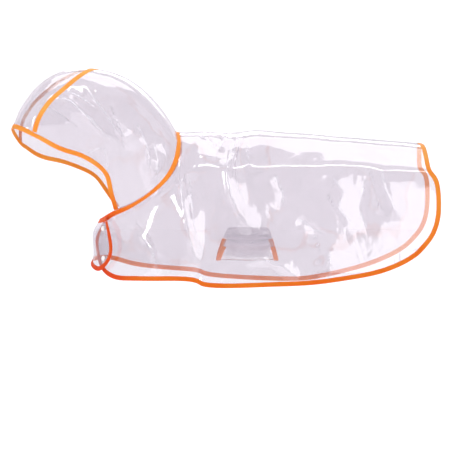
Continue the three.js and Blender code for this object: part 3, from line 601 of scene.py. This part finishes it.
def borderLoop(piece):
    # The border of a skin in order, as point, inward direction and outward normal
    mesh = bmesh.new()
    mesh.from_mesh(piece.data)
    mesh.normal_update()
    edges = {edge for edge in mesh.edges if edge.is_boundary}
    loops = []
    for start in [edge for edge in mesh.edges if edge.is_boundary]:
        if start not in edges:
            continue
        loop = []
        vertex, edge = start.verts[0], start
        while edge is not None:
            edges.discard(edge)
            loop.append(vertex)
            vertex = edge.other_vert(vertex)
            edge = next((other for other in vertex.link_edges if other in edges), None)
        loops.append(loop)
    loop = max(loops, key=len)
    places = []
    count = len(loop)
    for index, vertex in enumerate(loop):
        along = (loop[(index + 1) % count].co - loop[index - 1].co).normalized()
        middle = sum((face.calc_center_median() for face in vertex.link_faces), Vector())
        inward = middle / len(vertex.link_faces) - vertex.co
        inward -= along * inward.dot(along)
        normal = vertex.normal.copy()
        inward = (inward - normal * inward.dot(normal)).normalized()
        places.append({"point": vertex.co.copy(), "inward": inward, "normal": normal})
    mesh.free()
    return places


def runBetween(loop, start, end, through):
    # The stretch of a border from the place nearest start to the one nearest end, by way of through
    def nearest(spot):
        return min(range(len(loop)), key=lambda index: (loop[index]["point"] - Vector(spot) * mm).length)
    first, last, middle = nearest(start), nearest(end), nearest(through)
    count = len(loop)
    forward = [loop[(first + step) % count] for step in range((last - first) % count + 1)]
    if (middle - first) % count <= (last - first) % count:
        return forward
    return [loop[(first - step) % count] for step in range((first - last) % count + 1)]


def evenRun(run, spacing):
    # The same stretch with places at even distances
    lengths = [0.0]
    for before, after in zip(run, run[1:]):
        lengths.append(lengths[-1] + (after["point"] - before["point"]).length)
    count = max(2, round(lengths[-1] / spacing))
    places = []
    index = 0
    for step in range(count + 1):
        target = lengths[-1] * step / count
        while index + 2 < len(lengths) and lengths[index + 1] < target:
            index += 1
        share = (target - lengths[index]) / max(1e-9, lengths[index + 1] - lengths[index])
        place = {key: run[index][key].lerp(run[index + 1][key], share)
                 for key in ("point", "inward", "normal")}
        place["inward"].normalize()
        place["normal"].normalize()
        place["along"] = target
        places.append(place)
    return places


def skinTree(names):
    # Search tree over several skins, with their outward normals
    vertices, faces = [], []
    for name in names:
        base = len(vertices)
        vertices += [vertex.co.copy() for vertex in skins[name].data.vertices]
        faces += [[base + index for index in face.vertices] for face in skins[name].data.polygons]
    return BVHTree.FromPolygons(vertices, faces)


def onSkin(tree, spot, normal, reach):
    # The point of a skin under a spot, or the spot itself where no skin is near
    found, skinNormal, _, distance = tree.find_nearest(spot)
    if found is None or distance > reach:
        return spot, normal
    outward = skinNormal if skinNormal.dot(normal) > 0 else -skinNormal
    return found, normal.lerp(outward, 0.5).normalized()


tapeCut = {
    "spacing": 5.0 * mm,
    "folded": 8.6 * mm,      # how far the folded tape reaches in from the edge
    "thickness": 0.55 * mm,
    "lift": 0.28 * mm,       # from the middle of the film to the tape's inner face
    "pucker": 0.22 * mm,
    "foldedSnap": 2.5 * mm,  # a leg of folded tape follows the film within this distance
    "seamSnap": 3.5 * mm,    # the same for flat tape and for stitches
}
seamCut = {"half": 4.8 * mm, "thickness": tapeCut["thickness"], "pucker": tapeCut["pucker"]}
# Sections of the tape, as distance in from the edge and level off the film. Distance is a share of the
# tape's reach. Level 1 is the tape's inner face and 2 its outer one, and below 0 is inside the garment.
foldedOuter = [(1.0, 1), (0.98, 2), (0.55, 2.15), (0.15, 2), (-0.06, 1.4), (-0.11, 0), (-0.06, -1.4),
               (0.15, -2), (0.55, -2.15), (0.98, -2), (1.0, -1)]
foldedInner = [(0.97, -1), (0.5, -1), (0.03, -0.7), (0.03, 0.7), (0.5, 1), (0.97, 1)]
flatSection = [(-1.0, 1.0), (-1.0, 1.7), (-0.92, 2.0), (-0.4, 2.1), (0.0, 2.15), (0.4, 2.1), (0.92, 2.0),
               (1.0, 1.7), (1.0, 1.0), (0.4, 1.0), (-0.4, 1.0)]


def addUv(data, coordinates):
    layer = data.uv_layers.new(name="alongTape")
    for loop in data.loops:
        layer.data[loop.index].uv = coordinates[loop.vertex_index]


def tubeMesh(name, rings, across, places, material):
    size = len(rings[0])
    vertices = [spot for ring in rings for spot in ring]
    coordinates = [(place["along"], across[index]) for place in places for index in range(size)]
    faces = []
    for ringIndex in range(len(rings) - 1):
        for index in range(size):
            a = ringIndex * size + index
            b = ringIndex * size + (index + 1) % size
            faces.append((a, b, b + size, a + size))
    faces.append(tuple(reversed(range(size))))
    faces.append(tuple((len(rings) - 1) * size + index for index in range(size)))
    data = bpy.data.meshes.new(name)
    data.from_pydata(vertices, [], faces)
    addUv(data, coordinates)
    piece = bpy.data.objects.new(name, data)
    bpy.context.scene.collection.objects.link(piece)
    mesh = bmesh.new()
    mesh.from_mesh(data)
    bmesh.ops.recalc_face_normals(mesh, faces=mesh.faces)
    mesh.to_mesh(data)
    mesh.free()
    data.materials.append(material)
    activate(piece)
    bpy.ops.object.shade_smooth_by_angle(angle=math.radians(60))
    return piece


def unevenness(place, seed):
    # Two waves along the tape, 9 mm and 31 mm long
    spot = place["along"] * 1000
    return noise.noise(Vector((spot / 9.0, seed, 0.0))) * 0.7 + noise.noise(Vector((spot / 31.0, seed, 5.0)))


def foldedTape(name, places, tree, seed):
    # Tape folded in two over a film edge: both legs follow the film, the fold stands just past it
    rings = []
    section = foldedOuter + foldedInner
    across = [share * tapeCut["folded"] for share, _ in section]
    for place in places:
        pucker = unevenness(place, seed) * tapeCut["pucker"]
        reach = tapeCut["folded"] + pucker * 1.5
        ring = []
        for share, height in section:
            spot = place["point"] + place["inward"] * (reach * share)
            normal = place["normal"]
            if share > 0:
                spot, normal = onSkin(tree, spot, place["normal"], tapeCut["foldedSnap"])
            side = 1 if height > 0 else -1
            level = abs(height)
            if level >= 1:
                rise = tapeCut["lift"] + (level - 1) * tapeCut["thickness"] + max(0.0, pucker) * (level - 1)
            else:
                rise = tapeCut["lift"] * level
            ring.append(spot + normal * (side * rise))
        rings.append(ring)
    return tubeMesh(name, rings, across, places, tapeMaterial)


def seamStrip(name, places, tree, seed, strip, material):
    # Flat strip over a seam, on the outside: tape, or the weld of the film itself
    across = [share * strip["half"] for share, _ in flatSection]
    rings = []
    for place in places:
        pucker = unevenness(place, seed) * strip["pucker"]
        ring = []
        for share, level in flatSection:
            spot = place["point"] + place["inward"] * (strip["half"] * share)
            spot, normal = onSkin(tree, spot, place["normal"], tapeCut["seamSnap"])
            rise = tapeCut["lift"] + (level - 1) * (strip["thickness"] + max(0.0, pucker))
            ring.append(spot + normal * rise)
        rings.append(ring)
    return tubeMesh(name, rings, across, places, material)


def seamTape(name, places, tree, seed):
    return seamStrip(name, places, tree, seed, seamCut, tapeMaterial)


stitch = {
    "length": 2.6 * mm,
    "pitch": 3.5 * mm,
    "radius": 0.2 * mm,
    "level": 1.12,           # tape thicknesses above the tape's inner face
    "sink": 0.05 * mm,       # how far the thread bites into the tape
    "profile": [(-0.5, 0.35), (-0.3, 1.0), (0.3, 1.0), (0.5, 0.35)],    # share of length, share of radius
    "corners": 4,
    "inFolded": 0.8,         # where the row runs, as a share of the folded tape's reach
    "inSeam": 0.72,          # the same on flat tape, from its middle
}


def stitchRow(name, rows):
    # Lockstitches along rows of (places, distance in, side of the film, tree), each a short bead of thread
    vertices, faces = [], []
    size = stitch["corners"]
    last = len(stitch["profile"]) - 1
    for places, inwards, side, tree in rows:
        length = places[-1]["along"]
        count = int(length / stitch["pitch"])
        for number in range(1, count):
            target = number * stitch["pitch"]
            index = min(len(places) - 2, int(target / length * (len(places) - 1)))
            share = target / length * (len(places) - 1) - index
            first, second = places[index], places[index + 1]
            point = first["point"].lerp(second["point"], share)
            inward = first["inward"].lerp(second["inward"], share).normalized()
            normal = first["normal"].lerp(second["normal"], share).normalized()
            along = (second["point"] - first["point"]).normalized()
            spot, skinNormal = onSkin(tree, point + inward * inwards, normal, tapeCut["seamSnap"])
            height = tapeCut["lift"] + stitch["level"] * tapeCut["thickness"] - stitch["sink"]
            middle = spot + skinNormal * (side * height)
            across = skinNormal.cross(along).normalized()
            base = len(vertices)
            for place, swell in stitch["profile"]:
                centre = middle + along * (stitch["length"] * place)
                for corner in range(size):
                    turn = math.tau * (corner + 0.5) / size
                    offset = across * math.cos(turn) + skinNormal * math.sin(turn)
                    vertices.append(centre + offset * (stitch["radius"] * swell))
            for ring in range(last):
                for corner in range(size):
                    a = base + ring * size + corner
                    b = base + ring * size + (corner + 1) % size
                    faces.append((a, b, b + size, a + size))
            faces.append(tuple(base + corner for corner in reversed(range(size))))
            faces.append(tuple(base + last * size + corner for corner in range(size)))
    data = bpy.data.meshes.new(name)
    data.from_pydata(vertices, [], faces)
    mesh = bmesh.new()
    mesh.from_mesh(data)
    bmesh.ops.recalc_face_normals(mesh, faces=mesh.faces)
    mesh.to_mesh(data)
    mesh.free()
    data.materials.append(threadMaterial)
    piece = bpy.data.objects.new(name, data)
    bpy.context.scene.collection.objects.link(piece)
    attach(piece, "root")


def finishTape(piece, node):
    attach(piece, "root")
    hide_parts(node)


# Corners of the panels, in mm, between which each tape runs
corners = {
    "nearNeck": (-199, -17, -188),    # off the true corner, because the far edge passes close by it
    "farNeck": (-192, -46, -175),
    "rear": (455, 0, -23),
    "ridgeNeck": (-49, 0, 0),
}
bodyLoop = borderLoop(skins["body_panel"])
bodyTree = skinTree(["body_panel"])
hoodTree = skinTree(["hood_left", "hood_right", "hood_crown"])
neckTree = skinTree(["body_panel", "hood_left", "hood_right"])
hemBorder = runBetween(bodyLoop, corners["nearNeck"], corners["farNeck"], corners["rear"])
neckBorder = runBetween(bodyLoop, corners["nearNeck"], corners["farNeck"], corners["ridgeNeck"])
hemRun = evenRun(hemBorder, tapeCut["spacing"])
neckRun = evenRun(neckBorder, tapeCut["spacing"])
print("hem", round(hemRun[-1]["along"], 3), "m, neck", round(neckRun[-1]["along"], 3), "m")

finishTape(foldedTape("hem_tape", hemRun[1:-1], bodyTree, 1.5), "hem_binding")
finishTape(seamTape("neck_tape", neckRun, neckTree, 3.5), "neck_binding")
stitchIn = tapeCut["folded"] * stitch["inFolded"]
stitchRow("hem_stitches", [(hemRun[1:-1], stitchIn, 1, bodyTree), (hemRun[1:-1], stitchIn, -1, bodyTree)])
seamStitch = seamCut["half"] * stitch["inSeam"]
stitchRow("neck_stitches", [(neckRun, seamStitch, 1, neckTree), (neckRun, -seamStitch, 1, neckTree)])
print("hem and neck tape made")

hoodCorners = {
    "nearNeck": (-174, -48, -163),
    "nearFace": (-330, -144, -7),
    "farFace": (-361, -75, -27),
    "farNeck": (-174, 48, -163),
    "crownTop": (-209, -46, 127),
    "backNeck": (-51, 0, 0),
    "nearJaw": (-252, -133, -43),
    "farJaw": (-301, -24, -59),
    "brow": (-374, -122, 10),
    "nearCrown": (-301, -140, 58),
    "farCrown": (-343, -45, 50),
    "nape": (-127, -8, 94),
}
leftLoop = borderLoop(skins["hood_left"])
rightLoop = borderLoop(skins["hood_right"])
crownLoop = borderLoop(skins["hood_crown"])


def hoodRun(loop, start, end, through):
    return runBetween(loop, hoodCorners[start], hoodCorners[end], hoodCorners[through])


nearFaceRun = hoodRun(leftLoop, "nearNeck", "nearFace", "nearJaw")
browRun = hoodRun(crownLoop, "nearFace", "farFace", "brow")
farFaceRun = hoodRun(rightLoop, "farFace", "farNeck", "farJaw")
faceRun = evenRun(nearFaceRun[:-1] + browRun[1:-1] + farFaceRun[1:], tapeCut["spacing"])
nearCrownRun = evenRun(hoodRun(leftLoop, "nearFace", "crownTop", "nearCrown"), tapeCut["spacing"])
farCrownRun = evenRun(hoodRun(rightLoop, "farFace", "crownTop", "farCrown"), tapeCut["spacing"])
backRun = evenRun(hoodRun(leftLoop, "crownTop", "backNeck", "nape"), tapeCut["spacing"])
print("face", round(faceRun[-1]["along"], 3), "m, crown", round(nearCrownRun[-1]["along"], 3), "m")

finishTape(foldedTape("face_tape", faceRun[1:-1], hoodTree, 5.5), "face_binding")
finishTape(seamTape("crown_tape_left", nearCrownRun[2:], hoodTree, 7.5), "crown_binding_left")
finishTape(seamTape("crown_tape_right", farCrownRun[2:], hoodTree, 9.5), "crown_binding_right")
stitchRow("face_stitches", [(faceRun[1:-1], stitchIn, 1, hoodTree), (faceRun[1:-1], stitchIn, -1, hoodTree)])
stitchRow("crown_stitches", [(run[2:], side * seamStitch, 1, hoodTree)
                             for run in (nearCrownRun, farCrownRun) for side in (-1, 1)])

weld = {"half": 2.2 * mm, "thickness": 0.35 * mm, "pucker": 0.0}
backWeld = seamStrip("back_weld", backRun[1:-1], hoodTree, 2.0, weld, filmMaterial)
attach(backWeld, "root")

strapCorners = {
    "front": ((54, -127, -203), (54, 127, -203), (32, 0, -262)),
    "rear": ((142, -127, -203), (142, 127, -203), (158, 0, -262)),
}
strapLoop = borderLoop(skins["belly_strap"])
strapTree = skinTree(["belly_strap"])
strapTapeStart = 26 * mm
for end, (start, finish, middle) in strapCorners.items():
    run = evenRun(runBetween(strapLoop, start, finish, middle), tapeCut["spacing"])
    skip = round(strapTapeStart / tapeCut["spacing"])
    run = run[skip:-skip]
    for place in run:
        place["along"] -= skip * tapeCut["spacing"]
    finishTape(foldedTape("belly_tape_" + end, run, strapTree, 11.5), "belly_binding_" + end)
    stitchRow("belly_stitches_" + end, [(run, stitchIn, 1, strapTree), (run, stitchIn, -1, strapTree)])
print("hood and belly tape made")


snapCut = {
    "sides": 32,
    "bevel": 0.45 * mm,
    "ringInset": 0.9 * mm,
    "ringDepth": 0.5 * mm,
    "domeInset": 1.0 * mm,
    "domeRise": 0.5 * mm,
    "thinnest": 0.8 * mm,    # a height of 0 below is worked out from the node's box, within these two
    "thickest": 2.6 * mm,
}
snapDiscs = {
    "cap": {"radius": 5.0 * mm, "height": 2.4 * mm, "dome": True},
    "stud": {"radius": 4.0 * mm, "height": 0.0, "dome": False},
    "back": {"radius": 5.0 * mm, "height": 2.0 * mm, "dome": False},
}


def nodeCentre(node):
    low, high = (Vector(corner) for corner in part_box(node))
    return (low + high) / 2


def snapPiece(name, node, axis, shape):
    # A disc with a sunk ring and, on the cap, a low dome in its middle
    centre = nodeCentre(node)
    low, high = (Vector(corner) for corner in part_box(node))
    height = shape["height"]
    if height == 0.0:
        long = (high - low).length
        height = long - math.sqrt(max(0.0, long ** 2 - 4 * shape["radius"] ** 2))
        height = min(snapCut["thickest"], max(snapCut["thinnest"], height))
    deselectAll()
    bpy.ops.mesh.primitive_cylinder_add(vertices=snapCut["sides"], radius=shape["radius"], depth=height,
                                        location=(0, 0, 0))
    piece = bpy.context.object
    piece.name = name
    bpy.ops.object.mode_set(mode="EDIT")
    bpy.ops.mesh.select_mode(type="FACE")
    bpy.ops.mesh.select_all(action="DESELECT")
    mesh = bmesh.from_edit_mesh(piece.data)
    for face in mesh.faces:
        face.select = face.normal.z > 0.9
    bmesh.update_edit_mesh(piece.data)
    bpy.ops.mesh.inset(thickness=snapCut["ringInset"], depth=0.0)
    bpy.ops.mesh.inset(thickness=snapCut["ringInset"] * 0.4, depth=-snapCut["ringDepth"])
    if shape["dome"]:
        bpy.ops.mesh.inset(thickness=snapCut["domeInset"] * 0.4, depth=snapCut["domeRise"] * 1.4)
        bpy.ops.mesh.inset(thickness=snapCut["domeInset"], depth=snapCut["domeRise"] * 0.5)
    else:
        bpy.ops.mesh.inset(thickness=snapCut["domeInset"], depth=0.0)
    bpy.ops.object.mode_set(mode="OBJECT")
    applyModifier(piece, "BEVEL", {"width": snapCut["bevel"], "segments": 2, "limit_method": "ANGLE",
                                   "angle_limit": math.radians(35)})
    turn = Vector((0, 0, 1)).rotation_difference(axis).to_matrix().to_4x4()
    piece.data.transform(Matrix.Translation(centre) @ turn)
    activate(piece)
    bpy.ops.object.shade_smooth_by_angle(angle=math.radians(40))
    piece.data.materials.clear()
    piece.data.materials.append(snapMaterial)
    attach(piece, "root")
    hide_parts(node)


for place in ("upper", "lower"):
    outwards = (nodeCentre("snap_%s_cap" % place) - nodeCentre("snap_%s_back" % place)).normalized()
    for part, shape in snapDiscs.items():
        axis = -outwards if part == "back" else outwards
        snapPiece("snap_%s_%s_moulded" % (place, part), "snap_%s_%s" % (place, part), axis, shape)
print("snaps made")

for node, cut in filmPieces.items():
    finishFilm(skins[node], node)
print("film finished")


stage = {
    "floorLevel": -0.53,
    "floorSize": 13.0,
    "wallPlace": 5.6,
    "pale": "F4F3F4",
    "floorGlow": 0.35,
    "wallGlow": 0.34,
    "sky": "F1F0F6",
    "skyStrength": 0.78,
}
floorMatt = makeStageMatt("paleFloorPaper", stage["pale"], stage["floorGlow"])
wallMatt = makeStageMatt("paleWallPaper", stage["pale"], stage["wallGlow"])
deselectAll()
bpy.ops.mesh.primitive_plane_add(size=stage["floorSize"], location=(0, 0, stage["floorLevel"]))
floor = bpy.context.object
floor.name = "stage_floor"
floor.data.materials.append(floorMatt)
deselectAll()
bpy.ops.mesh.primitive_plane_add(size=stage["floorSize"], location=(0, stage["wallPlace"], 0),
                                 rotation=(math.pi / 2, 0, 0))
backdrop = bpy.context.object
backdrop.name = "stage_backdrop"
backdrop.data.materials.append(wallMatt)

view = {
    "place": (0.070, -4.317, 0.0524),
    "aim": (0.070, -0.125, -0.204),
    "lens": 160.9,
    "sensor": 36.0,
}


def aimAt(item, spot):
    item.rotation_euler = (Vector(spot) - item.location).to_track_quat("-Z", "Y").to_euler()


cameraData = bpy.data.cameras.new("camera")
cameraData.lens = view["lens"]
cameraData.sensor_width = view["sensor"]
cameraData.dof.use_dof = False
camera = bpy.data.objects.new("camera", cameraData)
bpy.context.scene.collection.objects.link(camera)
camera.location = view["place"]
aimAt(camera, view["aim"])
bpy.context.scene.camera = camera

softBoxes = [
    {"name": "roofBox", "place": (0.1, 0.55, 2.0), "aim": (0.1, 0.0, -0.1),
     "size": (2.6, 1.3), "power": 18},
    {"name": "creaseBox", "place": (0.1, -1.15, 2.0), "aim": (0.1, 0.0, -0.1),
     "size": (2.2, 0.3), "power": 9},
    {"name": "rearBox", "place": (1.15, -3.4, 0.45), "aim": (0.3, -0.1, -0.2),
     "size": (1.3, 1.6), "power": 10.5},
    {"name": "frontBox", "place": (-2.4, -2.2, 0.7), "aim": (-0.2, -0.1, -0.1),
     "size": (0.5, 1.5), "power": 14},
    {"name": "farBox", "place": (0.3, 2.0, 1.3), "aim": (0.1, 0.0, -0.1),
     "size": (2.0, 0.6), "power": 13},
]
for box in softBoxes:
    lampData = bpy.data.lights.new(box["name"], "AREA")
    lampData.shape = "RECTANGLE"
    lampData.size, lampData.size_y = box["size"]
    lampData.energy = box["power"]
    lamp = bpy.data.objects.new(box["name"], lampData)
    bpy.context.scene.collection.objects.link(lamp)
    lamp.location = box["place"]
    aimAt(lamp, box["aim"])

world = bpy.data.worlds.new("studio")
bpy.context.scene.world = world
world.use_nodes = True
sky = world.node_tree.nodes["Background"]
sky.inputs["Color"].default_value = hexToLinear(stage["sky"])
sky.inputs["Strength"].default_value = stage["skyStrength"]
bpy.context.scene.view_settings.view_transform = "Standard"

print("stage, camera and lights made")
